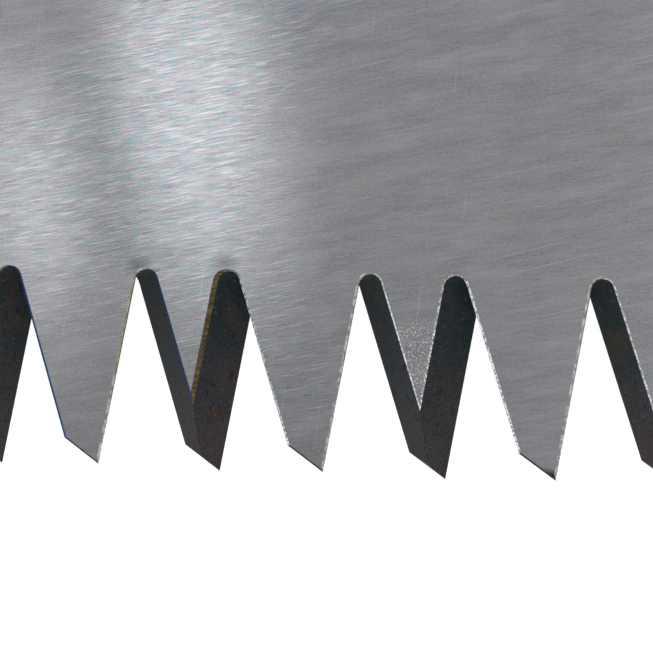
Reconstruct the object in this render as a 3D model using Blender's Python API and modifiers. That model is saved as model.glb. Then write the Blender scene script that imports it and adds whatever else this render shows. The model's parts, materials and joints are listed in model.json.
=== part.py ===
"""Folding pruning saw, open and lying on its side (metres, +Z up).

The blade points to -X, the handle to +X and the teeth to -Y. Outlines are drawn about the blade's pivot.
"""

import math

import bmesh
import bpy
from mathutils import Matrix, Vector

MM = 0.001
DEGREE = math.pi / 180

# Fits
FIT = 0.3 * MM
WELD = 0.001 * MM
CUT_MARGIN = 1.0 * MM

# Blade
BLADE_THICKNESS = 1.5 * MM
BLADE_REACH = 215 * MM
BLADE_BACK_Y = 12 * MM
BLADE_BACK_STRAIGHT = 30 * MM
BLADE_NOSE_BACK_Y = -1 * MM
BLADE_NOSE_RADIUS = 13 * MM
TANG_RADIUS = 13.5 * MM
RICASSO_EDGE_Y = -10 * MM
HEEL_X = 56 * MM
HEEL_RUN = 5 * MM
HEEL_FILLET = 3 * MM

# Teeth
GULLET_LINE_Y = -13 * MM
GULLET_RADIUS = 0.38 * MM
TOOTH_PITCH = 4.0 * MM
TOOTH_HEIGHT = 6.9 * MM
FLANK_TO_HANDLE = 8.3 * DEGREE
FLANK_TO_NOSE = 19.6 * DEGREE
FLEAM = 36.6 * DEGREE
TIP_CUT_SLOPE = 34.2 * DEGREE
TIP_CUT_BEVEL = 6 * DEGREE
TIP_CUT_RUN = 2.8 * MM
TIP_CUT_PAST = 2.0 * MM
TIP_CUT_DEPTH = 1.7 * MM
FIRST_GULLET = 4.2 * MM
LAST_GULLET = 2.0 * MM

# Pivot
BOLT_RADIUS = 3.5 * MM
BOLT_HEAD_RADIUS = 9 * MM
BOLT_HEAD_HEIGHT = 2.8 * MM
BOLT_HEAD_SUNK = 0.6 * MM
BOLT_SOCKET_RADIUS = 3 * MM
BOLT_SOCKET_DEPTH = 1.8 * MM
BUSH_WALL = 1.2 * MM
WASHER_THICKNESS = 0.6 * MM
WASHER_RADIUS = 10.4 * MM
NUT_RADIUS = 7.5 * MM
NUT_HEIGHT = 3.6 * MM

# Handle
HANDLE_THICKNESS = 26 * MM
HANDLE_FRONT_X = -17.5 * MM
HANDLE_REAR_X = 238 * MM
HANDLE_TOP_Y = 31.5 * MM
HANDLE_BOTTOM_Y = -16.5 * MM
HANDLE_WAIST_Y = -5 * MM
HANDLE_HOOK_Y = -13 * MM
HANDLE_EDGE_RADIUS = 4.5 * MM
LINER_THICKNESS = 1.2 * MM
LINER_INSET = 1.5 * MM
SPINE_FRONT_X = 62 * MM
SPINE_CLEARANCE = 0.6 * MM

# Handle outline: runs from its front or rear end, and heights against the lines above
FRONT_Y = 4 * MM
NECK_RUN = 3.5 * MM
NECK_Y = 15 * MM
SHOULDER_RUN = 11 * MM
SHOULDER_Y = 20.5 * MM
THUMB_RUN = 26 * MM
THUMB_Y = 24 * MM
BACK_RISE_RUN = 48 * MM
BACK_RISE_DROP = 2.6 * MM
BACK_FRONT_RUN = 80 * MM
BACK_FRONT_DROP = 0.4 * MM
BACK_REAR_RUN = 108 * MM
TAIL_RUN = 38 * MM
TAIL_DROP = 1.8 * MM
BUTT_TOP_RUN = 11 * MM
BUTT_TOP_DROP = 8 * MM
BUTT_Y = 9 * MM
HOOK_END_RUN = 5 * MM
HOOK_END_RISE = 7 * MM
HOOK_RUN = 17 * MM
HOOK_ROOT_RUN = 34 * MM
HOOK_ROOT_RISE = 2.5 * MM
PALM_RUN = 62 * MM
PALM_DROP = 0.8 * MM
WAIST_RUN = 100 * MM
BELLY_RUN = 116 * MM
BELLY_DROP = 3.4 * MM
FINGER_RUN = 78 * MM
FINGER_DROP = 6.5 * MM
GUARD_RUN = 44 * MM
GUARD_RISE = 1.6 * MM
BOTTOM_RUN = 18 * MM
CHIN_RUN = 5 * MM
CHIN_RISE = 6 * MM

# Rubber grip pads
PAD_FRONT_X = 44 * MM
PAD_REAR_X = 196 * MM
PAD_TOP_Y = 18 * MM
PAD_BOTTOM_Y = 1.5 * MM
PAD_CORNER = 7 * MM
PAD_DEPTH = 2.4 * MM
PAD_PROUD = 0.6 * MM
PAD_GROOVES = 12
PAD_GROOVE_WIDTH = 2.2 * MM
PAD_GROOVE_DEPTH = 1.0 * MM
PAD_GROOVE_LEAN = 20 * DEGREE

# Lever lock, drawn released
LEVER_PIN_X = 24 * MM
LEVER_PIN_Y = 15.5 * MM
LEVER_PIN_RADIUS = 2 * MM
LEVER_BOSS_RADIUS = 4.4 * MM
LOCK_ANGLE = 7 * DEGREE
NOSE_DEPTH = 2.5 * MM
NOSE_HEIGHT = 4.3 * MM
NOSE_TIP_HALF = 1.2 * MM
NOSE_ROOT_HALF = 1.9 * MM
NOSE_ROUNDING = 0.3 * MM
LEVER_ARM_Y = 18.2 * MM
LEVER_ARM_HEIGHT = 6 * MM
LEVER_REAR_X = 49.5 * MM
STEM_FRONT_X = 38 * MM
STEM_REAR_X = 47 * MM
STEM_TOP_Y = 34 * MM
BUTTON_LENGTH = 15 * MM
BUTTON_WIDTH = 12 * MM
BUTTON_HEIGHT = 5 * MM
BUTTON_FLOOR_Y = 31.8 * MM
BUTTON_ROUNDING = 1.5 * MM
BUTTON_GROOVES = 4
BUTTON_GROOVE_WIDTH = 1.1 * MM
BUTTON_GROOVE_DEPTH = 0.8 * MM
BUTTON_GROOVE_STEP = 2.6 * MM

# Stops and spring
STOP_PIN_RADIUS = 2 * MM
STOP_PIN_X = -9 * MM
CLOSING_STOP_FRONT_X = 33 * MM
CLOSING_STOP_REAR_X = 49.5 * MM
CLOSING_STOP_TOP_Y = 14.5 * MM
CLOSING_PIN_RADIUS = 1.2 * MM
CLOSING_PIN_INSET = 2.7 * MM
SPRING_X = 42 * MM
SPRING_WIRE = 0.45 * MM
SPRING_DIAMETER = 3.0 * MM
SPRING_TURNS = 4
SPRING_POINTS = 10
SPRING_POCKET = 0.9 * MM

# Handle screws and lanyard hole
SCREW_POSITIONS = (72 * MM, 136 * MM, 194 * MM)
SCREW_RADIUS = 1.5 * MM
SCREW_HEAD_RADIUS = 3.0 * MM
SCREW_HEAD_HEIGHT = 2.0 * MM
SCREW_SUNK = 1.2 * MM
SCREW_SLOT = 0.9 * MM
SLEEVE_RADIUS = 2.8 * MM
SCREW_ABOVE_SPINE = 3.7 * MM
LANYARD_X = 226 * MM
LANYARD_Y = 7 * MM
LANYARD_BORE = 3.75 * MM
LANYARD_WALL = 1.0 * MM
LANYARD_SUNK = 0.5 * MM

# Facets
ROUND_SIDES = 32
SMALL_SIDES = 16
HEXAGON = 6
TANG_STEPS = 40
GULLET_STEPS = 6
OUTLINE_STEPS = 6
EDGE_SEGMENTS = 4
BUTTON_SEGMENTS = 3
FILLET_STEP = 15 * DEGREE
SHARP_ANGLE = 35 * DEGREE
FLAT_ANGLE = 0.2 * DEGREE

# Heights of the layers above the blade's middle plane
BLADE_HALF = BLADE_THICKNESS / 2
WASHER_LOW = BLADE_HALF + FIT
SLOT_HALF = WASHER_LOW + WASHER_THICKNESS + FIT
LINER_HIGH = SLOT_HALF + LINER_THICKNESS
SCALE_LOW = LINER_HIGH + FIT
SCALE_HIGH = HANDLE_THICKNESS / 2
LEVER_HALF = SLOT_HALF - FIT
PAD_LOW = SCALE_HIGH - PAD_DEPTH
PAD_HIGH = SCALE_HIGH + PAD_PROUD

# Sizes that follow from the ones above
TOOTH_TIP_Y = GULLET_LINE_Y - TOOTH_HEIGHT
GULLET_SHIFT = BLADE_HALF * math.tan(FLEAM)
GULLET_COUNT = int((BLADE_REACH - FIRST_GULLET - HEEL_X - LAST_GULLET) / TOOTH_PITCH) + 1
FIRST_GULLET_X = FIRST_GULLET - BLADE_REACH
BUSH_RADIUS = BOLT_RADIUS + FIT + BUSH_WALL
STOP_PIN_Y = BLADE_BACK_Y + FIT + STOP_PIN_RADIUS
CLOSING_STOP_LOW_Y = FIT - RICASSO_EDGE_Y
CLOSING_PIN_Y = (CLOSING_STOP_LOW_Y + CLOSING_STOP_TOP_Y) / 2
CLOSING_PINS_X = (CLOSING_STOP_FRONT_X + CLOSING_PIN_INSET, CLOSING_STOP_REAR_X - CLOSING_PIN_INSET)
SPINE_LOW_Y = SPINE_CLEARANCE - TOOTH_TIP_Y
SCREW_Y = SPINE_LOW_Y + SCREW_ABOVE_SPINE
LANYARD_RADIUS = LANYARD_BORE + LANYARD_WALL
LEVER_PIN = Vector((LEVER_PIN_X, LEVER_PIN_Y))

# The lever's nose enters the tang along its radius, so it stands where a line from the pin touches the tang
NOSE_ANGLE = math.atan2(LEVER_PIN_Y, LEVER_PIN_X) + math.acos((TANG_RADIUS - NOSE_DEPTH / 2) / LEVER_PIN.length)

# Colour, roughness and metallic value of each finish
GROUND_STEEL = ((0.30, 0.30, 0.31), 0.32, 1.0)
PLATED_STEEL = ((0.42, 0.42, 0.43), 0.28, 1.0)
BLACK_OXIDE = ((0.03, 0.03, 0.033), 0.42, 1.0)
BRONZE = ((0.50, 0.31, 0.13), 0.35, 1.0)
BLACK_NYLON = ((0.022, 0.023, 0.024), 0.55, 0.0)
GREY_NYLON = ((0.10, 0.105, 0.11), 0.5, 0.0)
RED_NYLON = ((0.45, 0.03, 0.02), 0.4, 0.0)
GREY_RUBBER = ((0.15, 0.155, 0.16), 0.8, 0.0)


# Scene and objects


def clear_scene():
    for old in list(bpy.data.objects):
        bpy.data.objects.remove(old)


def new_collection(name):
    collection = bpy.data.collections.new(name)
    bpy.context.scene.collection.children.link(collection)
    return collection


def new_empty(name, parent, x=0.0, y=0.0):
    empty = bpy.data.objects.new(name, None)
    empty.parent = parent
    empty.location = (x, y, 0)
    PARTS.objects.link(empty)
    return empty


def new_object(name, mesh, parent, collection):
    made = bpy.data.objects.new(name, mesh)
    made.parent = parent
    collection.objects.link(made)
    return made


def mesh_from(name, shape):
    """Mesh with outward faces from a bmesh, which is freed."""
    bmesh.ops.recalc_face_normals(shape, faces=shape.faces)
    mesh = bpy.data.meshes.new(name)
    shape.to_mesh(mesh)
    shape.free()
    return mesh


def finish(part, look):
    """Gives a part its own material and smooth round faces."""
    colour, roughness, metallic = look
    material = bpy.data.materials.new(part.name)
    material.use_nodes = True
    shader = material.node_tree.nodes["Principled BSDF"]
    shader.inputs["Base Color"].default_value = (*colour, 1.0)
    shader.inputs["Roughness"].default_value = roughness
    shader.inputs["Metallic"].default_value = metallic
    part.data.materials.append(material)
    if part.type == "MESH":
        part.data.shade_smooth()
        part.data.set_sharp_from_angle(angle=SHARP_ANGLE)
    return part


# Outlines


def filleted(corners):
    """Closed outline through (x, y, radius) corners, each rounded by an arc of its radius."""
    outline = []
    for index, (x, y, radius) in enumerate(corners):
        here = Vector((x, y))
        if radius == 0:
            outline.append(here)
            continue
        back = (Vector(corners[index - 1][:2]) - here).normalized()
        ahead = (Vector(corners[(index + 1) % len(corners)][:2]) - here).normalized()
        half = back.angle(ahead) / 2
        centre = here + (back + ahead).normalized() * (radius / math.sin(half))
        start = here + back * (radius / math.tan(half)) - centre
        turn = math.pi - 2 * half
        if back.x * ahead.y - back.y * ahead.x > 0:
            turn = -turn
        steps = max(2, math.ceil(abs(turn) / FILLET_STEP))
        for step in range(steps + 1):
            outline.append(centre + Matrix.Rotation(turn * step / steps, 2) @ start)
    return outline


def smooth_loop(points, steps):
    """Closed outline that runs smoothly through the points."""
    outline = []
    count = len(points)
    for index in range(count):
        a, b, c, d = (Vector(points[(index + shift) % count]) for shift in (-1, 0, 1, 2))
        for step in range(steps):
            t = step / steps
            linear = (c - a) * t
            square = (2 * a - 5 * b + 4 * c - d) * t * t
            cubic = (3 * b - a - 3 * c + d) * t * t * t
            outline.append(b + (linear + square + cubic) / 2)
    return outline


def inset_loop(outline, distance):
    """Clockwise outline moved inwards by a distance."""
    moved = []
    for index, point in enumerate(outline):
        along = (outline[(index + 1) % len(outline)] - outline[index - 1]).normalized()
        moved.append(point + Vector((along.y, -along.x)) * distance)
    return moved


def turned_about(points, centre, angle):
    spin = Matrix.Rotation(angle, 2)
    return [centre + spin @ (Vector(point) - centre) for point in points]


def handle_outline():
    """Side view of the handle, clockwise from its front, with a hook for the pulling hand at its rear end."""
    front = HANDLE_FRONT_X
    rear = HANDLE_REAR_X
    back = [
        (front, FRONT_Y),
        (front + NECK_RUN, NECK_Y),
        (front + SHOULDER_RUN, SHOULDER_Y),
        (front + THUMB_RUN, THUMB_Y),
        (front + BACK_RISE_RUN, HANDLE_TOP_Y - BACK_RISE_DROP),
        (front + BACK_FRONT_RUN, HANDLE_TOP_Y - BACK_FRONT_DROP),
        (rear - BACK_REAR_RUN, HANDLE_TOP_Y),
        (rear - TAIL_RUN, HANDLE_TOP_Y - TAIL_DROP),
        (rear - BUTT_TOP_RUN, HANDLE_TOP_Y - BUTT_TOP_DROP),
    ]
    belly = [
        (rear, BUTT_Y),
        (rear - HOOK_END_RUN, HANDLE_HOOK_Y + HOOK_END_RISE),
        (rear - HOOK_RUN, HANDLE_HOOK_Y),
        (rear - HOOK_ROOT_RUN, HANDLE_HOOK_Y + HOOK_ROOT_RISE),
        (rear - PALM_RUN, HANDLE_WAIST_Y - PALM_DROP),
        (rear - WAIST_RUN, HANDLE_WAIST_Y),
        (front + BELLY_RUN, HANDLE_WAIST_Y - BELLY_DROP),
        (front + FINGER_RUN, HANDLE_WAIST_Y - FINGER_DROP),
        (front + GUARD_RUN, HANDLE_BOTTOM_Y + GUARD_RISE),
        (front + BOTTOM_RUN, HANDLE_BOTTOM_Y),
        (front + CHIN_RUN, HANDLE_BOTTOM_Y + CHIN_RISE),
    ]
    return smooth_loop(back + belly, OUTLINE_STEPS)


# Shapes


def plate_shape(outline, low, high):
    """Flat shape with an outline, between two heights, made from a filled 2D curve."""
    curve = bpy.data.curves.new("outline", "CURVE")
    curve.dimensions = "2D"
    curve.fill_mode = "BOTH"
    curve.extrude = (high - low) / 2
    spline = curve.splines.new("POLY")
    spline.points.add(len(outline) - 1)
    for point, (x, y) in zip(spline.points, outline):
        point.co = (x, y, 0, 1)
    spline.use_cyclic_u = True
    guide = new_object("outline", curve, None, CUTTERS)
    mesh = bpy.data.meshes.new_from_object(guide.evaluated_get(bpy.context.evaluated_depsgraph_get()))
    bpy.data.objects.remove(guide)
    shape = bmesh.new()
    shape.from_mesh(mesh)
    bpy.data.meshes.remove(mesh)
    bmesh.ops.remove_doubles(shape, verts=shape.verts, dist=WELD)
    bmesh.ops.dissolve_limit(shape, angle_limit=FLAT_ANGLE, verts=shape.verts, edges=shape.edges)
    bmesh.ops.translate(shape, verts=shape.verts, vec=(0, 0, (high + low) / 2))
    return shape


def plate(name, outline, low, high, parent):
    return new_object(name, mesh_from(name, plate_shape(outline, low, high)), parent, PARTS)


def turned(name, profile, parent, x=0.0, y=0.0, ring=False, sides=ROUND_SIDES):
    """Round piece about Z from (radius, z) points that run down its outer side."""
    shape = bmesh.new()
    corners = [shape.verts.new((radius, 0, z)) for radius, z in profile]
    for start, end in zip(corners, corners[1:]):
        shape.edges.new((start, end))
    if ring:
        shape.edges.new((corners[-1], corners[0]))
    mesh = bpy.data.meshes.new(name)
    shape.to_mesh(mesh)
    shape.free()
    made = new_object(name, mesh, parent, PARTS)
    made.location = (x, y, 0)
    screw = made.modifiers.new("Turn", "SCREW")
    screw.steps = sides
    screw.render_steps = sides
    screw.use_merge_vertices = True
    screw.merge_threshold = WELD
    return made


def pin(name, radius, half, x, y, parent, sides=SMALL_SIDES):
    """Round pin across the handle, with chamfered ends."""
    chamfer = radius / 5
    profile = (
        (0, half),
        (radius - chamfer, half),
        (radius, half - chamfer),
        (radius, chamfer - half),
        (radius - chamfer, -half),
        (0, -half),
    )
    return turned(name, profile, parent, x, y, sides=sides)


def tube(name, inner, outer, low, high, x, y, parent, sides=ROUND_SIDES):
    profile = ((outer, high), (outer, low), (inner, low), (inner, high))
    return turned(name, profile, parent, x, y, ring=True, sides=sides)


# Cuts


def cut(part, cutter_mesh, operation="DIFFERENCE"):
    """Cuts a part with a mesh drawn in the part's own frame."""
    cutter = new_object(f"{part.name} cutter", cutter_mesh, part.parent, CUTTERS)
    cutter.location = part.location
    cutter.hide_render = True
    cutter.display_type = "WIRE"
    boolean = part.modifiers.new("Cut", "BOOLEAN")
    boolean.operation = operation
    boolean.object = cutter
    return cutter


def repeat(cutter, count, step):
    """Repeats a cutter along X."""
    pattern = cutter.modifiers.new("Pattern", "ARRAY")
    pattern.count = count
    pattern.use_relative_offset = False
    pattern.use_constant_offset = True
    pattern.constant_offset_displace = (step, 0, 0)


def drill(part, holes, low, high, sides=ROUND_SIDES):
    """Cuts round holes, given as (x, y, radius), between two heights."""
    shape = bmesh.new()
    for x, y, radius in holes:
        place = Matrix.Translation((x, y, (low + high) / 2))
        bmesh.ops.create_cone(shape, cap_ends=True, segments=sides, radius1=radius, radius2=radius,
                              depth=high - low, matrix=place)
    cut(part, mesh_from("holes", shape))


def box_shape(low, high):
    """Box between two opposite corners."""
    size = Vector(high) - Vector(low)
    place = Matrix.Translation((Vector(low) + Vector(high)) / 2) @ Matrix.Diagonal((*size, 1))
    shape = bmesh.new()
    bmesh.ops.create_cube(shape, size=1, matrix=place)
    return shape


# Blade


def blade_outline():
    """Blank of the blade before its teeth are cut, from the tang round the heel and nose to the back."""
    start = math.pi - math.asin(BLADE_BACK_Y / TANG_RADIUS)
    end = -math.pi - math.asin(RICASSO_EDGE_Y / TANG_RADIUS)
    corners = []
    for step in range(TANG_STEPS + 1):
        angle = start + (end - start) * step / TANG_STEPS
        corners.append((TANG_RADIUS * math.cos(angle), TANG_RADIUS * math.sin(angle), 0))
    corners += [
        (HEEL_RUN - HEEL_X, RICASSO_EDGE_Y, HEEL_FILLET),
        (-HEEL_X, TOOTH_TIP_Y, 0),
        (-BLADE_REACH, TOOTH_TIP_Y, 0),
        (-BLADE_REACH, BLADE_NOSE_BACK_Y, BLADE_NOSE_RADIUS),
        (-BLADE_BACK_STRAIGHT, BLADE_BACK_Y, BLADE_BACK_STRAIGHT),
    ]
    return filleted(corners)


def gullet_outline():
    """Round-rooted V of one gullet, its root on the gullet line."""
    arc_start = math.pi - FLANK_TO_HANDLE
    arc_end = FLANK_TO_NOSE
    depth = TOOTH_HEIGHT + CUT_MARGIN
    outline = [(-gullet_wall(FLANK_TO_HANDLE, depth), GULLET_LINE_Y - depth)]
    for step in range(GULLET_STEPS + 1):
        angle = arc_start + (arc_end - arc_start) * step / GULLET_STEPS
        x = GULLET_RADIUS * math.cos(angle)
        y = GULLET_LINE_Y + GULLET_RADIUS * (math.sin(angle) - 1)
        outline.append((x, y))
    outline.append((gullet_wall(FLANK_TO_NOSE, depth), GULLET_LINE_Y - depth))
    return outline


def gullet_wall(flank, depth):
    """Distance of a gullet's wall from its middle, at a depth below its root."""
    return GULLET_RADIUS / math.cos(flank) + (depth - GULLET_RADIUS) * math.tan(flank)


def cut_gullets(blade, first, slant):
    """Cuts every second gullet, slanted through the blade by the fleam angle."""
    reach = BLADE_HALF + CUT_MARGIN
    shape = plate_shape(gullet_outline(), -reach, reach)
    shear = Matrix.Identity(4)
    shear[0][2] = slant * math.tan(FLEAM)
    shear[0][3] = FIRST_GULLET_X + first * TOOTH_PITCH
    bmesh.ops.transform(shape, matrix=shear, verts=shape.verts)
    cutter = cut(blade, mesh_from("gullets", shape))
    repeat(cutter, (GULLET_COUNT - first + 1) // 2, 2 * TOOTH_PITCH)


def cut_tips(blade, first, side):
    """Grinds the third bevel on the points of every second tooth, rising away from its wide face."""
    along = Vector((math.cos(TIP_CUT_SLOPE), -math.sin(TIP_CUT_SLOPE), 0))
    rise = Vector((math.sin(TIP_CUT_SLOPE), math.cos(TIP_CUT_SLOPE), 0))
    face = Vector((0, 0, side))
    inward = rise * math.sin(TIP_CUT_BEVEL) - face * math.cos(TIP_CUT_BEVEL)
    outward = -rise * math.cos(TIP_CUT_BEVEL) - face * math.sin(TIP_CUT_BEVEL)
    right_gullet_x = FIRST_GULLET_X + (first + 1) * TOOTH_PITCH + GULLET_SHIFT
    tip = Vector((right_gullet_x - gullet_wall(FLANK_TO_HANDLE, TOOTH_HEIGHT), TOOTH_TIP_Y, side * BLADE_HALF))
    depth = BLADE_THICKNESS / math.cos(TIP_CUT_BEVEL) + 2 * CUT_MARGIN
    middle = tip + along * (TIP_CUT_RUN / 2 - TIP_CUT_PAST) + inward * (depth / 2 - CUT_MARGIN)
    middle += outward * TIP_CUT_DEPTH / 2
    axes = Matrix((along * TIP_CUT_RUN, inward * depth, outward * TIP_CUT_DEPTH)).transposed().to_4x4()
    shape = bmesh.new()
    bmesh.ops.create_cube(shape, size=1, matrix=Matrix.Translation(middle) @ axes)
    cutter = cut(blade, mesh_from("tips", shape))
    repeat(cutter, (GULLET_COUNT - first) // 2, 2 * TOOTH_PITCH)


def nose_outline(grow):
    """Lever nose as it stands in the tang's notch, grown by a clearance."""
    slope = (NOSE_ROOT_HALF - NOSE_TIP_HALF) / NOSE_HEIGHT
    low = TANG_RADIUS - NOSE_DEPTH - grow
    high = TANG_RADIUS - NOSE_DEPTH + NOSE_HEIGHT
    tip_half = NOSE_TIP_HALF + grow - slope * grow
    root_half = NOSE_ROOT_HALF + grow
    upright = [(-root_half, high), (-tip_half, low), (tip_half, low), (root_half, high)]
    return turned_about(upright, Vector((0, 0)), NOSE_ANGLE - math.pi / 2)


def make_blade(parent):
    blade = plate("saw_blade", blade_outline(), -BLADE_HALF, BLADE_HALF, parent)
    for first, slant in ((0, 1), (1, -1)):
        cut_gullets(blade, first, slant)
    for first, side in ((0, -1), (1, 1)):
        cut_tips(blade, first, side)
    drill(blade, [(0, 0, BUSH_RADIUS + FIT)], -LINER_HIGH, LINER_HIGH)
    for angle in (0, math.pi):
        notch = turned_about(nose_outline(FIT), Vector((0, 0)), angle)
        cut(blade, mesh_from("notch", plate_shape(notch, -LINER_HIGH, LINER_HIGH)))
    return finish(blade, GROUND_STEEL)


# Handle


def side_name(name, side):
    return f"{name}_upper" if side > 0 else f"{name}_lower"


def span(side, near, far):
    """Heights of a layer on one side of the blade, low one first."""
    return (near, far) if side > 0 else (-far, -near)


def screw_holes(radius):
    return [(x, SCREW_Y, radius) for x in SCREW_POSITIONS]


def make_liner(side, parent):
    low, high = span(side, SLOT_HALF, LINER_HIGH)
    name = side_name("liner", side)
    liner = plate(name, inset_loop(handle_outline(), LINER_INSET), low, high, parent)
    holes = screw_holes(SLEEVE_RADIUS + FIT if side < 0 else SCREW_RADIUS + FIT)
    holes += [(x, CLOSING_PIN_Y, CLOSING_PIN_RADIUS + FIT) for x in CLOSING_PINS_X]
    holes.append((0, 0, BOLT_RADIUS + FIT))
    holes.append((STOP_PIN_X, STOP_PIN_Y, STOP_PIN_RADIUS + FIT))
    holes.append((LEVER_PIN_X, LEVER_PIN_Y, LEVER_PIN_RADIUS + FIT))
    holes.append((LANYARD_X, LANYARD_Y, LANYARD_RADIUS + FIT))
    drill(liner, holes, low - CUT_MARGIN, high + CUT_MARGIN, SMALL_SIDES)
    return finish(liner, PLATED_STEEL)


def pad_outline(grow):
    """Grip pad in side view, grown by a clearance; its lower edge follows the waist."""
    corner = PAD_CORNER + grow
    front = PAD_FRONT_X - grow
    rear = PAD_REAR_X + grow
    top = PAD_TOP_Y + grow
    bottom = PAD_BOTTOM_Y - grow
    return filleted([
        (front, top, corner),
        (rear, top, corner),
        (rear + PAD_CORNER, bottom - PAD_CORNER / 2, corner),
        (rear - 4 * PAD_CORNER, bottom, 6 * corner),
        (front + 6 * PAD_CORNER, bottom, 6 * corner),
        (front - PAD_CORNER / 2, bottom - PAD_CORNER, corner),
    ])


def make_scale(side, parent):
    low, high = span(side, SCALE_LOW, SCALE_HIGH)
    name = side_name("handle_scale", side)
    shape = plate_shape(handle_outline(), low, high)
    outer = side * SCALE_HIGH
    rim = [edge for edge in shape.edges if all(abs(vert.co.z - outer) < WELD for vert in edge.verts)]
    bmesh.ops.bevel(shape, geom=rim, offset=HANDLE_EDGE_RADIUS, segments=EDGE_SEGMENTS, profile=0.5, affect="EDGES",
                    offset_type="OFFSET", material=-1)
    scale = new_object(name, mesh_from(name, shape), parent, PARTS)
    beyond = SCALE_HIGH + CUT_MARGIN
    through = span(side, SCALE_LOW - CUT_MARGIN, beyond)
    shank = SCREW_RADIUS if side > 0 else SLEEVE_RADIUS
    holes = screw_holes(shank + FIT)
    holes.append((0, 0, BOLT_RADIUS + FIT))
    holes.append((LANYARD_X, LANYARD_Y, LANYARD_RADIUS + FIT))
    drill(scale, holes, *through)
    head_seat = SCALE_HIGH - SCREW_SUNK - SCREW_HEAD_HEIGHT - FIT
    drill(scale, screw_holes(SCREW_HEAD_RADIUS + FIT), *span(side, head_seat, beyond))
    bolt_seat = bolt_head_low() - FIT
    drill(scale, [(0, 0, BOLT_HEAD_RADIUS + FIT)], *span(side, bolt_seat, beyond))
    pocket = plate_shape(pad_outline(FIT), *span(side, PAD_LOW - FIT, beyond))
    cut(scale, mesh_from("pad pocket", pocket))
    return finish(scale, BLACK_NYLON)


def make_pad(side, parent):
    low, high = span(side, PAD_LOW, PAD_HIGH)
    pad = plate(side_name("grip_pad", side), pad_outline(0), low, high, parent)
    groove_low, groove_high = span(side, PAD_HIGH - PAD_GROOVE_DEPTH, PAD_HIGH + CUT_MARGIN)
    half = PAD_GROOVE_WIDTH / 2
    shape = box_shape((-half, -HANDLE_TOP_Y, groove_low), (half, HANDLE_TOP_Y, groove_high))
    step = (PAD_REAR_X - PAD_FRONT_X) / (PAD_GROOVES + 1)
    middle_y = (PAD_TOP_Y + PAD_BOTTOM_Y) / 2
    place = Matrix.Translation((PAD_FRONT_X + step, middle_y, 0)) @ Matrix.Rotation(PAD_GROOVE_LEAN, 4, "Z")
    bmesh.ops.transform(shape, matrix=place, verts=shape.verts)
    repeat(cut(pad, mesh_from("grooves", shape)), PAD_GROOVES, step)
    return finish(pad, GREY_RUBBER)


def make_spine(parent):
    """Bar along the handle's back, above the folded blade's teeth."""
    outline = inset_loop(handle_outline(), LINER_INSET)
    spine = plate("spine_spacer", outline, -LEVER_HALF, LEVER_HALF, parent)
    keep_low = (SPINE_FRONT_X, SPINE_LOW_Y, -LINER_HIGH)
    keep_high = (HANDLE_REAR_X, 2 * HANDLE_TOP_Y, LINER_HIGH)
    cut(spine, mesh_from("spine keep", box_shape(keep_low, keep_high)), "INTERSECT")
    drill(spine, screw_holes(SLEEVE_RADIUS + FIT), -LINER_HIGH, LINER_HIGH, SMALL_SIDES)
    return finish(spine, GREY_NYLON)


# Pivot


def bolt_head_low():
    return SCALE_HIGH - BOLT_HEAD_SUNK - BOLT_HEAD_HEIGHT


def make_pivot(parent):
    head_low = bolt_head_low()
    head_high = head_low + BOLT_HEAD_HEIGHT
    crown = BOLT_HEAD_HEIGHT / 4
    shank_end = FIT - head_low - NUT_HEIGHT / 2
    bolt = turned("pivot_bolt", (
        (0, head_high),
        (BOLT_HEAD_RADIUS - 3 * crown, head_high),
        (BOLT_HEAD_RADIUS - crown, head_high - crown / 2),
        (BOLT_HEAD_RADIUS, head_high - 2 * crown),
        (BOLT_HEAD_RADIUS, head_low),
        (BOLT_RADIUS, head_low),
        (BOLT_RADIUS, shank_end),
        (0, shank_end),
    ), parent)
    socket = bmesh.new()
    place = Matrix.Translation((0, 0, head_high))
    bmesh.ops.create_cone(socket, cap_ends=True, segments=HEXAGON, radius1=BOLT_SOCKET_RADIUS, radius2=BOLT_SOCKET_RADIUS,
                          depth=2 * BOLT_SOCKET_DEPTH, matrix=place)
    cut(bolt, mesh_from("bolt socket", socket))
    finish(bolt, PLATED_STEEL)

    hexagon = bmesh.new()
    place = Matrix.Translation((0, 0, NUT_HEIGHT / -2 - head_low))
    bmesh.ops.create_cone(hexagon, cap_ends=True, segments=HEXAGON, radius1=NUT_RADIUS, radius2=NUT_RADIUS,
                          depth=NUT_HEIGHT, matrix=place)
    nut = new_object("pivot_nut", mesh_from("pivot_nut", hexagon), parent, PARTS)
    drill(nut, [(0, 0, BOLT_RADIUS + FIT)], -SCALE_HIGH - CUT_MARGIN, CUT_MARGIN)
    finish(nut, PLATED_STEEL)

    bush = tube("pivot_bush", BOLT_RADIUS + FIT, BUSH_RADIUS, -LEVER_HALF, LEVER_HALF, 0, 0, parent)
    finish(bush, BRONZE)
    for side in (1, -1):
        low, high = span(side, WASHER_LOW, WASHER_LOW + WASHER_THICKNESS)
        name = side_name("pivot_washer", side)
        finish(tube(name, BUSH_RADIUS + FIT, WASHER_RADIUS, low, high, 0, 0, parent), BRONZE)


# Lever lock


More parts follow.
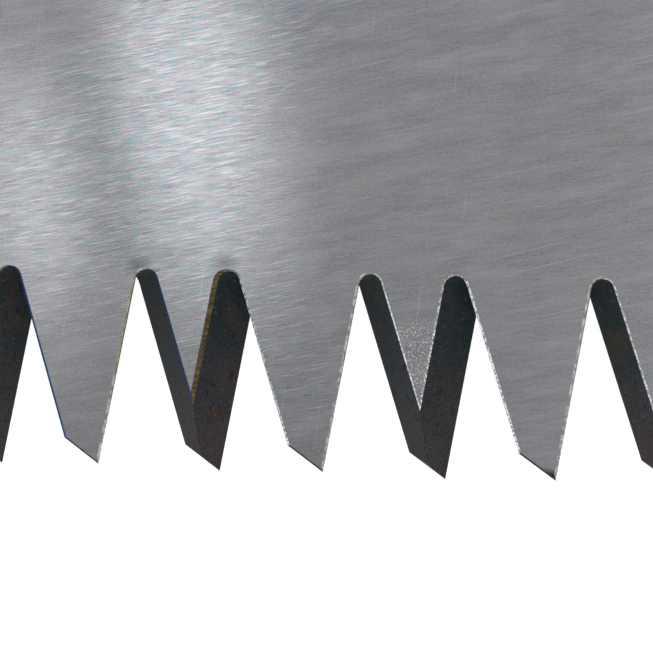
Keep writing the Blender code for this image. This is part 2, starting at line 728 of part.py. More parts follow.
def lever_outline():
    """Rocking lever in its released place: nose over the tang, boss on its pin, thumb stem at the rear."""
    root_front, tip_front, tip_rear, root_rear = turned_about(nose_outline(0), LEVER_PIN, -LOCK_ANGLE)
    boss = LEVER_BOSS_RADIUS
    corner = LEVER_PIN_RADIUS
    arm_top = LEVER_ARM_Y + LEVER_ARM_HEIGHT
    return filleted([
        (*tip_front, NOSE_ROUNDING),
        (*tip_rear, NOSE_ROUNDING),
        (*root_rear, NOSE_ROUNDING),
        (LEVER_PIN_X - 2 * boss, LEVER_PIN_Y + boss / 3, corner),
        (LEVER_PIN_X - boss, LEVER_PIN_Y - boss, corner),
        (LEVER_PIN_X + boss, LEVER_PIN_Y - boss, corner),
        (STEM_FRONT_X - 2 * corner, LEVER_ARM_Y, corner),
        (LEVER_REAR_X, LEVER_ARM_Y, corner),
        (LEVER_REAR_X, arm_top, corner),
        (STEM_REAR_X, arm_top + corner, corner / 2),
        (STEM_REAR_X, STEM_TOP_Y, 0),
        (STEM_FRONT_X, STEM_TOP_Y, 0),
        (STEM_FRONT_X, arm_top, corner),
        (LEVER_PIN_X, arm_top - corner / 2, corner),
        (root_front.x, root_front.y + corner, corner),
    ])


def about_pin(outline):
    return [Vector(point) - LEVER_PIN for point in outline]


def make_lock(parent, lever_axis):
    lever = plate("lock_lever", about_pin(lever_outline()), -LEVER_HALF, LEVER_HALF, lever_axis)
    drill(lever, [(0, 0, LEVER_PIN_RADIUS + FIT)], -LINER_HIGH, LINER_HIGH, SMALL_SIDES)
    finish(lever, BLACK_OXIDE)

    middle_x = (STEM_FRONT_X + STEM_REAR_X) / 2
    half_length = BUTTON_LENGTH / 2
    low = (middle_x - half_length - LEVER_PIN_X, BUTTON_FLOOR_Y - LEVER_PIN_Y, -BUTTON_WIDTH / 2)
    high = (middle_x + half_length - LEVER_PIN_X, BUTTON_FLOOR_Y + BUTTON_HEIGHT - LEVER_PIN_Y, BUTTON_WIDTH / 2)
    button_mesh = mesh_from("lock_button", box_shape(low, high))
    button = new_object("lock_button", button_mesh, lever_axis, PARTS)
    rounding = button.modifiers.new("Rounding", "BEVEL")
    rounding.width = BUTTON_ROUNDING
    rounding.segments = BUTTON_SEGMENTS
    pocket_low = (STEM_FRONT_X - FIT - LEVER_PIN_X, BUTTON_FLOOR_Y - CUT_MARGIN - LEVER_PIN_Y, -SLOT_HALF)
    pocket_high = (STEM_REAR_X + FIT - LEVER_PIN_X, STEM_TOP_Y + FIT - LEVER_PIN_Y, SLOT_HALF)
    cut(button, mesh_from("button pocket", box_shape(pocket_low, pocket_high)))
    first_x = middle_x - LEVER_PIN_X - (BUTTON_GROOVES - 1) * BUTTON_GROOVE_STEP / 2
    half_groove = BUTTON_GROOVE_WIDTH / 2
    groove_low = (first_x - half_groove, high[1] - BUTTON_GROOVE_DEPTH, low[2] - CUT_MARGIN)
    groove_high = (first_x + half_groove, high[1] + CUT_MARGIN, high[2] + CUT_MARGIN)
    grooves = cut(button, mesh_from("button grooves", box_shape(groove_low, groove_high)))
    repeat(grooves, BUTTON_GROOVES, BUTTON_GROOVE_STEP)
    finish(button, RED_NYLON)

    lever_pin = pin("lock_lever_pin", LEVER_PIN_RADIUS, LINER_HIGH, LEVER_PIN_X, LEVER_PIN_Y, parent)
    finish(lever_pin, PLATED_STEEL)


def make_stops(parent):
    stop_pin = pin("blade_stop_pin", STOP_PIN_RADIUS, LINER_HIGH, STOP_PIN_X, STOP_PIN_Y, parent)
    finish(stop_pin, PLATED_STEEL)
    corner = CLOSING_PIN_RADIUS
    block = plate("closing_stop", filleted([
        (CLOSING_STOP_FRONT_X, CLOSING_STOP_LOW_Y, corner),
        (CLOSING_STOP_REAR_X, CLOSING_STOP_LOW_Y, corner),
        (CLOSING_STOP_REAR_X, CLOSING_STOP_TOP_Y, corner),
        (CLOSING_STOP_FRONT_X, CLOSING_STOP_TOP_Y, corner),
    ]), -LEVER_HALF, LEVER_HALF, parent)
    pin_holes = [(x, CLOSING_PIN_Y, CLOSING_PIN_RADIUS + FIT) for x in CLOSING_PINS_X]
    drill(block, pin_holes, -LINER_HIGH, LINER_HIGH, SMALL_SIDES)
    half = SPRING_DIAMETER / 2 + FIT
    pocket_low = (SPRING_X - half, CLOSING_STOP_TOP_Y - SPRING_POCKET, -LINER_HIGH)
    pocket_high = (SPRING_X + half, CLOSING_STOP_TOP_Y + CUT_MARGIN, LINER_HIGH)
    cut(block, mesh_from("spring pocket", box_shape(pocket_low, pocket_high)))
    finish(block, GREY_NYLON)
    for number, x in enumerate(CLOSING_PINS_X, 1):
        name = f"closing_stop_pin_{number}"
        finish(pin(name, CLOSING_PIN_RADIUS, LINER_HIGH, x, CLOSING_PIN_Y, parent), PLATED_STEEL)


def make_spring(parent):
    """Return spring of the lever, one wire wound about Y between the closing stop and the lever's arm."""
    low = CLOSING_STOP_TOP_Y - SPRING_POCKET + FIT + SPRING_WIRE / 2
    high = LEVER_ARM_Y - FIT - SPRING_WIRE / 2
    radius = (SPRING_DIAMETER - SPRING_WIRE) / 2
    points = []
    for step in range(SPRING_TURNS * SPRING_POINTS + 1):
        angle = 2 * math.pi * step / SPRING_POINTS
        y = low + (high - low) * step / (SPRING_TURNS * SPRING_POINTS)
        points.append(Vector((SPRING_X + radius * math.cos(angle), y, radius * math.sin(angle))))
    curve = bpy.data.curves.new("lock_spring", "CURVE")
    curve.dimensions = "3D"
    curve.bevel_depth = SPRING_WIRE / 2
    curve.bevel_resolution = 1
    curve.use_fill_caps = True
    spline = curve.splines.new("POLY")
    spline.points.add(len(points) - 1)
    for point, place in zip(spline.points, points):
        point.co = (*place, 1)
    spring = new_object("lock_spring", curve, parent, PARTS)
    weld = spring.modifiers.new("Caps", "WELD")
    weld.merge_threshold = WELD
    finish(spring, PLATED_STEEL)
    far_pairs = ((a, b) for i, a in enumerate(points) for b in points[i + SPRING_POINTS // 2:])
    least = min((a - b).length for a, b in far_pairs) - SPRING_WIRE
    print(f"lock_spring least gap between turns {least / MM:.2f} mm")


# Fasteners


def make_fasteners(parent):
    head_high = SCALE_HIGH - SCREW_SUNK
    head_low = head_high - SCREW_HEAD_HEIGHT
    rim = SCREW_HEAD_HEIGHT / 5
    bore_end = SLOT_HALF - FIT
    for number, x in enumerate(SCREW_POSITIONS, 1):
        screw = turned(f"handle_screw_{number}", (
            (0, head_high),
            (SCREW_HEAD_RADIUS - rim, head_high),
            (SCREW_HEAD_RADIUS, head_high - rim),
            (SCREW_HEAD_RADIUS, head_low),
            (SCREW_RADIUS, head_low),
            (SCREW_RADIUS, -head_low),
            (0, -head_low),
        ), parent, x, SCREW_Y, sides=SMALL_SIDES)
        half_slot = SCREW_SLOT / 2
        slot_low = (-SCREW_HEAD_RADIUS - CUT_MARGIN, -half_slot, head_high - SCREW_HEAD_HEIGHT / 2)
        slot_high = (SCREW_HEAD_RADIUS + CUT_MARGIN, half_slot, head_high + CUT_MARGIN)
        cut(screw, mesh_from("screw slot", box_shape(slot_low, slot_high)))
        finish(screw, PLATED_STEEL)
        bore = SCREW_RADIUS + FIT
        nut = turned(f"handle_nut_{number}", (
            (SLEEVE_RADIUS, bore_end),
            (SLEEVE_RADIUS, -head_low),
            (SCREW_HEAD_RADIUS, -head_low),
            (SCREW_HEAD_RADIUS, rim - head_high),
            (SCREW_HEAD_RADIUS - rim, -head_high),
            (bore, -head_high),
            (bore, bore_end),
        ), parent, x, SCREW_Y, ring=True, sides=SMALL_SIDES)
        finish(nut, PLATED_STEEL)
    reach = SCALE_HIGH - LANYARD_SUNK
    bush = tube("lanyard_bush", LANYARD_BORE, LANYARD_RADIUS, -reach, reach, LANYARD_X, LANYARD_Y, parent)
    finish(bush, PLATED_STEEL)


def stand_on_ground(assembly):
    """Moves the assembly so that its box stands on the ground, centred on the origin."""
    depsgraph = bpy.context.evaluated_depsgraph_get()
    points = []
    for part in PARTS.objects:
        if part.type != "EMPTY":
            solid = part.evaluated_get(depsgraph)
            points += [solid.matrix_world @ vertex.co for vertex in solid.to_mesh().vertices]
    low = [min(point[axis] for point in points) for axis in range(3)]
    high = [max(point[axis] for point in points) for axis in range(3)]
    assembly.location = (-(low[0] + high[0]) / 2, -(low[1] + high[1]) / 2, -low[2])
    print("box in mm", [round((b - a) / MM, 3) for a, b in zip(low, high)])
    print("pivot at mm", [round(value / MM, 4) for value in assembly.location])


clear_scene()
PARTS = new_collection("pruning_saw")
CUTTERS = new_collection("pruning_saw cutters")
ASSEMBLY = new_empty("assembly", None)
BLADE_AXIS = new_empty("blade_axis", ASSEMBLY)
LEVER_AXIS = new_empty("lever_axis", ASSEMBLY, LEVER_PIN_X, LEVER_PIN_Y)

make_blade(BLADE_AXIS)
for handle_side in (1, -1):
    make_liner(handle_side, ASSEMBLY)
    make_scale(handle_side, ASSEMBLY)
    make_pad(handle_side, ASSEMBLY)
make_spine(ASSEMBLY)
make_pivot(ASSEMBLY)
make_lock(ASSEMBLY, LEVER_AXIS)
make_stops(ASSEMBLY)
make_spring(ASSEMBLY)
make_fasteners(ASSEMBLY)
stand_on_ground(ASSEMBLY)
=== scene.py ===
"""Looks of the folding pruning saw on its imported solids, in metres, with +Z up and the saw on its side."""

import json
import math

import bmesh
import bpy
from mathutils import Matrix, Vector
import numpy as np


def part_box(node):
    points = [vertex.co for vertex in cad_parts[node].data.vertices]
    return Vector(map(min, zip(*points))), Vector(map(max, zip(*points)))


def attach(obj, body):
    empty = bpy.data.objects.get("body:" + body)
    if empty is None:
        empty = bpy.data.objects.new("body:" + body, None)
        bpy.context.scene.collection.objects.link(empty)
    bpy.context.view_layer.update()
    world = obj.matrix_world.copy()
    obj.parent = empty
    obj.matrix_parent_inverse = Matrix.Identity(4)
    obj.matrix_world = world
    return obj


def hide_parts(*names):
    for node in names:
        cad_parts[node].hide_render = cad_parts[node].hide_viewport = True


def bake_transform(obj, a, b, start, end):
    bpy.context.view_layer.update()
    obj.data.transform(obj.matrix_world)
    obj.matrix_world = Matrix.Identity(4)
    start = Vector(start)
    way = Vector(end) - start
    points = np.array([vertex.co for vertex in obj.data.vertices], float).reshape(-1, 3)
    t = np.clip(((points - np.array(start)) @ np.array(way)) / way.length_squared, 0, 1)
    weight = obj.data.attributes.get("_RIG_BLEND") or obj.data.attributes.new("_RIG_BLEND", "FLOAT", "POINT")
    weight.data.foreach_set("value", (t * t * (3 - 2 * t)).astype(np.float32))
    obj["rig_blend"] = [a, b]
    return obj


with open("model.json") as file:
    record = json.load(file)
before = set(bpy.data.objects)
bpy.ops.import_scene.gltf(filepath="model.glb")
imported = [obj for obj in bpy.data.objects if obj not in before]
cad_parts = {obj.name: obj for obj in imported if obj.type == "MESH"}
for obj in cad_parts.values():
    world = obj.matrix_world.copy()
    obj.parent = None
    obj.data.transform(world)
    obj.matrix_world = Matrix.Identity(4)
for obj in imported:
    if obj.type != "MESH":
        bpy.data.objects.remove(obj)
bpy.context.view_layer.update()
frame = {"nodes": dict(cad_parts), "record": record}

MM = 0.001
DEGREE = math.pi / 180

# Size of the picture in pixels, and the camera of the close view, found from the teeth
PICTURE_WIDTH = 653
PICTURE_HEIGHT = 654
FOCAL_PIXELS = 2757.5
SENSOR = 36.0
CAMERA_TURN = (7.04 * DEGREE, 12.2 * DEGREE, 2.93 * DEGREE)
CAMERA_DISTANCE = 95.5 * MM
CAMERA_NEAR = 10 * MM

# Teeth, as the solids have them
TOOTH_PITCH = 4.0 * MM
TOOTH_HEIGHT = 6.9 * MM
FIRST_GULLET = 4.2 * MM

# Viewed point, counted from the root of one gullet
VIEWED_GULLET = 20
VIEW_PAST_GULLET = 6.9 * MM
VIEW_BELOW_GULLET_LINE = 1.79 * MM

# Return spring of the lock lever, as the solids have it but with more steps round
SPRING_WIRE = 0.45 * MM
SPRING_TURNS = 4
SPRING_STEPS = 40
WIRE_SIDES = 14

# Distances under which points are welded, and angles that tell flat, smooth and sharp edges apart
WELD = 0.0001 * MM
TOUCH = 0.001 * MM
SLIVER = 0.07 * MM
FLAT_ANGLE = 0.2 * DEGREE
SHARP_ANGLE = 32 * DEGREE
SMOOTH_ANGLE = 40 * DEGREE

# Roundings of sharp edges, by material slot, and the one of all other slots
ROUNDINGS = {"black_nylon": 0.5 * MM, "grip_rubber": 0.45 * MM, "red_nylon": 0.3 * MM}
SMALL_ROUNDING = 0.15 * MM
ROUNDING_STEPS = 3

# Burrs along the tooth edges, and the rims of the ground face beside undercut ones, pale as a painted highlight
# of those edges
BURR_WIDTH = 0.14 * MM
BURR_ANGLE = 26 * DEGREE
RIM_WIDTH = 0.075 * MM
UNDERCUT_BURR_FACING = 0.6
BLADE_FACE_FACING = 0.99
TIP_CUT_FACING = -0.4

# Shares of the burr width on gullet walls that face the handle and the nose, by how the gullet slants
SLIGHT_BURRS = (0.42, 0.2)
STRONG_BURRS = (0.25, 1.0)
HEAVY_BURRS = (0.85, 1.0)
HEAVY_BURR_EVERY = 4
HEAVY_BURR_GULLET = 1
TIP_BURR = 0.5
ROOT_BURR = 0.4

# Material slots of the blade
GROUND, FLANK, BURR, TINTED, SHEARED, HIGHLIT_RIM = range(6)

# Direction of the grinding scratches on the blade, up from the tooth line towards the handle
GRIND_TURN = 11.5 * DEGREE
UV_UNIT = 10 * MM

# Heat tint of the tooth edges: size of its patches, and the start of the noise that lays them
TINT_PATCH = 6 * MM
TINT_START = 1.4497

# Range that holds most values of a noise
NOISE_LOW = 0.3
NOISE_HIGH = 0.7

WHITE = (1.0, 1.0, 1.0, 1.0)
BLACK = (0.0, 0.0, 0.0, 1.0)

# Floor and world
FLOOR_HALF = 8.0
FLOOR_GLOW = 0.35
WORLD_LIGHT = 0.5

# Ceiling; each light or dim patch has its place from the viewed point, its reach and its strength
CEILING_HEIGHT = 0.8
CEILING_HALF = 0.9
CEILING_LEVEL = 0.64
CEILING_PATCHES = (
    ((-0.2235, 0.166), (0.036, 0.092), 1.3),
    ((-0.283, 0.134), (0.026, 0.06), 1.2),
    ((-0.22, 0.03), (0.17, 0.09), -0.16),
)
PATCH_TURN = 15 * DEGREE
PATCH_CORE = 0.7

# Lamps
LAMP_PLACE = (0.075, 0.077, 0.7)
SOFTBOX_SIZE = (0.5, 1.0)
SOFTBOX_RADIANCE = 0.6
KEY_STRENGTH = 1.6
KEY_SPREAD = 22 * DEGREE
KEY_LEAN = 41 * DEGREE

BLADE_LOW, BLADE_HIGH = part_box("saw_blade")
BLADE_MIDDLE_Z = (BLADE_LOW.z + BLADE_HIGH.z) / 2
GULLET_LINE_Y = BLADE_LOW.y + TOOTH_HEIGHT
VIEWED_POINT = Vector((
    BLADE_LOW.x + FIRST_GULLET + VIEWED_GULLET * TOOTH_PITCH + VIEW_PAST_GULLET,
    GULLET_LINE_Y - VIEW_BELOW_GULLET_LINE,
    BLADE_MIDDLE_Z,
))


def face_point(gullets, rise):
    """Point of the blade's upper face, by gullets from the nose and by its height over their roots."""
    return Vector((BLADE_LOW.x + FIRST_GULLET + gullets * TOOTH_PITCH, GULLET_LINE_Y + rise, BLADE_HIGH.z))


# Marks on the ground face that have their own places
PITTED_POINT = face_point(VIEWED_GULLET + 2.55, -2.8 * MM)
PITTED_REACH = (1.55 * MM, 1.55 * MM, 1.55 * MM)
# Dark patches beside the tops of two gullets are painted shade
GULLET_SHADE_POINTS = (face_point(VIEWED_GULLET + 0.05, 0.1 * MM), face_point(VIEWED_GULLET + 0.83, 0.28 * MM))
GULLET_SHADE_REACH = (0.65 * MM, 0.45 * MM, 0.45 * MM)


# Nodes and patterns


def linear(code):
    """Linear colour of an sRGB hex value."""
    channels = [int(code[start:start + 2], 16) / 255 for start in (1, 3, 5)]
    return (*[c / 12.92 if c <= 0.04045 else ((c + 0.055) / 1.055) ** 2.4 for c in channels], 1.0)


def wire(tree, node, inputs):
    """Links or sets a node's inputs, by name or by number."""
    for name, value in inputs.items():
        if isinstance(value, bpy.types.NodeSocket):
            tree.links.new(value, node.inputs[name])
        else:
            node.inputs[name].default_value = value


def add_node(tree, kind, inputs=None, **settings):
    """Adds a shader node with its settings and links."""
    node = tree.nodes.new(kind)
    for name, value in settings.items():
        setattr(node, name, value)
    wire(tree, node, inputs or {})
    return node


def new_material(name):
    """Material, its node tree and its shader."""
    material = bpy.data.materials.new(name)
    material.use_nodes = True
    return material, material.node_tree, material.node_tree.nodes["Principled BSDF"]


def marks(tree, run, width, turn=0.0, start=0.0, detail=2.0, roughness=0.5):
    """Noise whose marks are run long and width wide, turned about Z; start shifts it along X."""
    laid = add_node(tree, "ShaderNodeMapping", {
        "Vector": add_node(tree, "ShaderNodeTexCoord").outputs["Object"],
        "Location": (start, 0, 0),
        "Rotation": (0, 0, turn),
        "Scale": (run, width, width),
    }, vector_type="TEXTURE")
    noise = add_node(tree, "ShaderNodeTexNoise", {
        "Vector": laid.outputs["Vector"],
        "Scale": 1.0,
        "Detail": detail,
        "Roughness": roughness,
    })
    return noise.outputs["Fac"]


def crowded(tree, zone, run, width, turn, start):
    """Plain marks that crowd where a zone is strong."""
    plain = marks(tree, run, width, turn, start, detail=0.0)
    return add_node(tree, "ShaderNodeMath", {0: plain, 1: zone}, operation="ADD").outputs["Value"]


def soft_patch(tree, centre, reach, turn=0.0):
    """Falls from one at a centre to nought at the reach along each axis, turned about Z."""
    laid = add_node(tree, "ShaderNodeMapping", {
        "Vector": add_node(tree, "ShaderNodeTexCoord").outputs["Object"],
        "Location": centre,
        "Rotation": (0, 0, turn),
        "Scale": reach,
    }, vector_type="TEXTURE")
    patch = add_node(tree, "ShaderNodeTexGradient", {
        "Vector": laid.outputs["Vector"],
    }, gradient_type="SPHERICAL")
    return patch.outputs["Fac"]


def towards_tip(tree):
    """Rises from nought at the gullets' roots to one at the tooth points."""
    laid = add_node(tree, "ShaderNodeMapping", {
        "Vector": add_node(tree, "ShaderNodeTexCoord").outputs["Object"],
        "Location": (0, GULLET_LINE_Y, 0),
        "Rotation": (0, 0, -90 * DEGREE),
        "Scale": (TOOTH_HEIGHT, TOOTH_HEIGHT, TOOTH_HEIGHT),
    }, vector_type="TEXTURE")
    return add_node(tree, "ShaderNodeTexGradient", {"Vector": laid.outputs["Vector"]}).outputs["Fac"]


def pitted_patch(tree):
    """Grainy pitting in one patch on the face of a narrow tooth."""
    patch = soft_patch(tree, PITTED_POINT, PITTED_REACH)
    reach = add_node(tree, "ShaderNodeMapRange", {"Value": patch, "From Min": 0.1, "From Max": 0.4})
    grain = add_node(tree, "ShaderNodeMapRange", {
        "Value": marks(tree, 0.07 * MM, 0.07 * MM, start=1.9, detail=1.0),
        "From Min": 0.55,
        "From Max": 0.62,
    })
    both = add_node(tree, "ShaderNodeMath", {
        0: reach.outputs["Result"],
        1: grain.outputs["Result"],
    }, operation="MULTIPLY")
    return both.outputs["Value"]


def rubbed_and_highlit_edges(tree):
    """Rubbing on the rounded edges, with a painted highlight there, broken up by noise."""
    edge = add_node(tree, "ShaderNodeAttribute", attribute_name="wear_and_highlight").outputs["Fac"]
    rubbed = add_node(tree, "ShaderNodeMapRange", {
        "Value": marks(tree, 6 * MM, 6 * MM, detail=4.0),
        "From Min": 0.42,
        "From Max": 0.66,
    })
    both = add_node(tree, "ShaderNodeMath", {0: edge, 1: rubbed.outputs["Result"]}, operation="MULTIPLY")
    return both.outputs["Value"]


def laid_over(tree, under, over, pattern, low, high, share=1.0):
    """Colour laid over another, up to a share, where a pattern rises from low to high."""
    rise = add_node(tree, "ShaderNodeMapRange", {
        "Value": pattern,
        "From Min": low,
        "From Max": high,
        "To Max": share,
    })
    mix = add_node(tree, "ShaderNodeMix", {0: rise.outputs["Result"], 6: under, 7: over}, data_type="RGBA")
    return mix.outputs[2]


def layered(tree, under, layers):
    """Colour under layers, each with its hex colour, pattern, low and high of that pattern, and share."""
    for code, pattern, low, high, share in layers:
        under = laid_over(tree, under, linear(code), pattern, low, high, share)
    return under


# Materials of the blade


def ground_steel():
    """Spring steel ground along the blade: fine grain, with strokes and flecks crowding in one zone, where the
    bright strokes are painted glints of the light on the scratches.
    """
    material, tree, shader = new_material("ground_spring_steel")
    # Zone where strokes and flecks crowd: painted glints of the light on the scratches
    painted_glint_zone = add_node(tree, "ShaderNodeMapRange", {
        "Value": marks(tree, 14 * MM, 14 * MM, start=0.342, detail=0.0),
        "From Min": 0.48,
        "From Max": 0.68,
        "To Min": 0.07,
        "To Max": 0.28,
    }).outputs["Result"]
    grain = marks(tree, 0.12 * MM, 0.07 * MM, GRIND_TURN, detail=1.0)
    clouds = marks(tree, 2.4 * MM, 0.6 * MM, GRIND_TURN, start=7.3, detail=1.0)
    soft_streaks = marks(tree, 1.2 * MM, 0.11 * MM, GRIND_TURN, start=3.7, detail=1.0)
    fine = marks(tree, 1.3 * MM, 0.035 * MM, GRIND_TURN, detail=1.0)
    crossing = marks(tree, 0.8 * MM, 0.05 * MM, GRIND_TURN - 7 * DEGREE, start=0.6, detail=0.0)
    dark_strokes = crowded(tree, painted_glint_zone, 0.7 * MM, 0.04 * MM, GRIND_TURN - 2 * DEGREE, 5.9)
    # Bright strokes: real scratches that carry painted glints where the zone is strong
    strokes = crowded(tree, painted_glint_zone, 0.85 * MM, 0.04 * MM, GRIND_TURN + DEGREE, 1.3)
    flecks = crowded(tree, painted_glint_zone, 0.3 * MM, 0.075 * MM, GRIND_TURN, 4.1)
    long_strokes = marks(tree, 5 * MM, 0.045 * MM, GRIND_TURN + 3 * DEGREE, start=2.7, detail=0.0)
    stray = marks(tree, 4 * MM, 0.04 * MM, 85 * DEGREE, detail=0.0)
    pits = marks(tree, 0.08 * MM, 0.08 * MM, start=0.4, detail=1.0)
    # Painted shade beside the tops of two gullets
    gullet_shades = [soft_patch(tree, place, GULLET_SHADE_REACH) for place in GULLET_SHADE_POINTS]
    burnt_tips = crowded(tree, towards_tip(tree), 6 * MM, 6 * MM, 0.0, 0.4515)
    waves = marks(tree, 30 * MM, 5 * MM, 92 * DEGREE, start=0.9, detail=0.0)

    grey = laid_over(tree, linear("#8e8c91"), linear("#a1a0a3"), grain, 0.28, 0.72)
    grey = layered(tree, grey, (
        ("#b6b4b8", clouds, 0.34, 0.72, 0.4),
        ("#a5b4b6", soft_streaks, 0.52, 0.74, 0.4),
        ("#b9b8ba", fine, 0.5, 0.68, 0.25),
        ("#7d7b80", crossing, 0.6, 0.72, 0.25),
        ("#605f64", dark_strokes, 0.93, 1.01, 0.42),
        ("#dcdbdd", strokes, 0.84, 1.02, 0.42),
        ("#6ea3ae", flecks, 0.89, 0.96, 0.5),
        ("#d8d9db", long_strokes, 0.76, 0.81, 0.3),
        ("#d6dadd", stray, 0.82, 0.86, 0.3),
        ("#e4e8ea", pits, 0.83, 0.86, 0.7),
        ("#e6e7e9", pitted_patch(tree), 0.0, 1.0, 0.75),
        *[("#4c4c50", gullet_shade, 0.0, 0.9, 0.5) for gullet_shade in gullet_shades],
        ("#1b2531", burnt_tips, 1.785, 1.83, 0.95),
    ))
    gloss = add_node(tree, "ShaderNodeMapRange", {
        "Value": crossing,
        "From Min": NOISE_LOW,
        "From Max": NOISE_HIGH,
        "To Min": 0.095,
        "To Max": 0.12,
    })
    across = add_node(tree, "ShaderNodeTangent", direction_type="UV_MAP", uv_map="across_grind")
    rolling = add_node(tree, "ShaderNodeBump", {"Height": waves, "Distance": 0.012 * MM, "Strength": 1.0})
    scratched = add_node(tree, "ShaderNodeBump", {
        "Height": fine,
        "Distance": 0.0005 * MM,
        "Strength": 1.0,
        "Normal": rolling.outputs["Normal"],
    })
    wire(tree, shader, {
        "Base Color": grey,
        "Metallic": 1.0,
        "Roughness": gloss.outputs["Result"],
        "Anisotropic": 0.65,
        "Tangent": across.outputs["Tangent"],
        "Normal": scratched.outputs["Normal"],
    })
    return material


def hardened_flank():
    """Tooth flanks dark from hardening: blue-black oxide, purple-grey at the points, scorched brown, and painted
    shade that darkens them towards the gullets' roots.
    """
    material, tree, shader = new_material("hardened_tooth_steel")
    cloud = marks(tree, 1.5 * MM, 1.5 * MM, detail=4.0)
    scorch = marks(tree, 1.1 * MM, 1.1 * MM, start=3.3, detail=5.0, roughness=0.6)
    blots = marks(tree, 0.35 * MM, 0.35 * MM, start=2.1, detail=2.0)
    speck = marks(tree, 0.11 * MM, 0.11 * MM, start=0.7, detail=0.0)
    grit = marks(tree, 0.07 * MM, 0.07 * MM, start=1.4, detail=1.0)
    # Lighter towards the points; the darkening towards the gullets' roots is painted shade of the gullet
    tip = add_node(tree, "ShaderNodeMath", {0: towards_tip(tree), 1: cloud}, operation="ADD")
    grey = laid_over(tree, linear("#273033"), linear("#403d40"), tip.outputs["Value"], 0.65, 1.35)
    grey = layered(tree, grey, (
        ("#16191a", grit, 0.45, 0.75, 0.7),
        ("#40342a", scorch, 0.5, 0.66, 0.65),
        ("#121314", blots, 0.62, 0.7, 0.45),
        ("#6a5c45", speck, 0.76, 0.8, 0.4),
    ))
    gloss = add_node(tree, "ShaderNodeMapRange", {
        "Value": cloud,
        "From Min": NOISE_LOW,
        "From Max": NOISE_HIGH,
        "To Min": 0.44,
        "To Max": 0.6,
    })
    relief = add_node(tree, "ShaderNodeBump", {"Height": scorch, "Distance": 0.02 * MM, "Strength": 0.5})
    wire(tree, shader, {
        "Base Color": grey,
        "Roughness": gloss.outputs["Result"],
        "Specular IOR Level": 0.02,
        "Normal": relief.outputs["Normal"],
    })
    return material


def burr_steel():
    """Bright burr left by grinding along the tooth edges, with dark gaps and a blue tint in places."""
    material, tree, shader = new_material("bright_burr_steel")
    ticks = marks(tree, 0.1 * MM, 0.1 * MM, detail=2.0)
    blued = marks(tree, 9 * MM, 9 * MM, start=1.8093, detail=0.0)
    bright = laid_over(tree, linear("#8093a2"), linear("#f4f7f9"), ticks, 0.38, 0.58)
    wire(tree, shader, {
        "Base Color": laid_over(tree, bright, linear("#2c5186"), blued, 0.52, 0.62),
        "Metallic": 1.0,
        "Roughness": 0.35,
    })
    return material


def tinted_bevel():
    """Small bevel on tooth edges that face the handle: bright and speckled, or straw with cross lines."""
    material, tree, shader = new_material("heat_tinted_bevel")
    tint = marks(tree, TINT_PATCH, TINT_PATCH, start=TINT_START)
    lines = marks(tree, 0.6 * MM, 0.06 * MM, detail=1.0)
    tone = marks(tree, 0.5 * MM, 0.5 * MM, start=0.9)
    ticks = marks(tree, 0.07 * MM, 0.07 * MM, start=1.1, detail=1.0)
    straw = laid_over(tree, linear("#332b1b"), linear("#615534"), lines, 0.4, 0.62)
    straw = laid_over(tree, straw, linear("#3b2b21"), tone, 0.5, 0.7, 0.8)
    bright = laid_over(tree, linear("#84878a"), linear("#eceded"), ticks, 0.47, 0.62)
    wire(tree, shader, {
        "Base Color": laid_over(tree, bright, straw, tint, 0.45, 0.63),
        "Metallic": 0.7,
        "Roughness": 0.42,
    })
    return material


def rim_highlight_steel():
    """Narrow rim of the ground face along undercut edges: pale and flecked as a painted highlight of the edge,
    straw where heat tinted it.
    """
    material, tree, shader = new_material("pale_rim_highlight_steel")
    tint = marks(tree, TINT_PATCH, TINT_PATCH, start=TINT_START)
    flecks = marks(tree, 0.18 * MM, 0.18 * MM, start=1.1)
    pale = laid_over(tree, linear("#88898b"), linear("#c6c6c5"), flecks, 0.42, 0.64)
    straw = laid_over(tree, linear("#8e8c73"), linear("#b3b197"), flecks, 0.42, 0.64)
    wire(tree, shader, {
        "Base Color": laid_over(tree, pale, straw, tint, 0.5, 0.57),
        "Metallic": 1.0,
        "Roughness": 0.42,
    })
    return material


def sheared_steel():
    """Blanked edge of the blade: matt, with short lines across the thickness."""
    material, tree, shader = new_material("sheared_edge_steel")
    lines = marks(tree, 0.25 * MM, 0.25 * MM, detail=2.0)
    gloss = add_node(tree, "ShaderNodeMapRange", {"Value": lines, "To Min": 0.3, "To Max": 0.54})
    wire(tree, shader, {
        "Base Color": laid_over(tree, linear("#7d7d80"), linear("#a3a3a6"), lines, NOISE_LOW, NOISE_HIGH),
        "Metallic": 1.0,
        "Roughness": gloss.outputs["Result"],
    })
    return material


# Materials of the handle and the fittings


def moulded(name, colour, paler, roughness, grain, depth):
    """Moulded polymer with a spark-eroded grain, drawn coarser than the real one so that it shows."""
    material, tree, shader = new_material(name)
    texture = marks(tree, grain, grain, detail=2.0)
    mottle = marks(tree, 25 * MM, 25 * MM, detail=3.0)
    body = layered(tree, linear(colour), (
        (paler, mottle, NOISE_LOW, NOISE_HIGH, 0.25),
        (paler, texture, 0.5, 0.75, 0.35),
        # Paler rounded edges: rubbed, and a painted highlight
        (paler, rubbed_and_highlit_edges(tree), 0.0, 1.0, 0.8),
    ))
    gloss = add_node(tree, "ShaderNodeMapRange", {
        "Value": texture,
        "From Min": NOISE_LOW,
        "From Max": NOISE_HIGH,
        "To Min": roughness + 0.1,
        "To Max": roughness - 0.1,
    })
    relief = add_node(tree, "ShaderNodeBump", {"Height": texture, "Distance": depth, "Strength": 1.0})
    wire(tree, shader, {
        "Base Color": body,
        "Roughness": gloss.outputs["Result"],
        "IOR": 1.53,
        "Normal": relief.outputs["Normal"],
    })
    return material


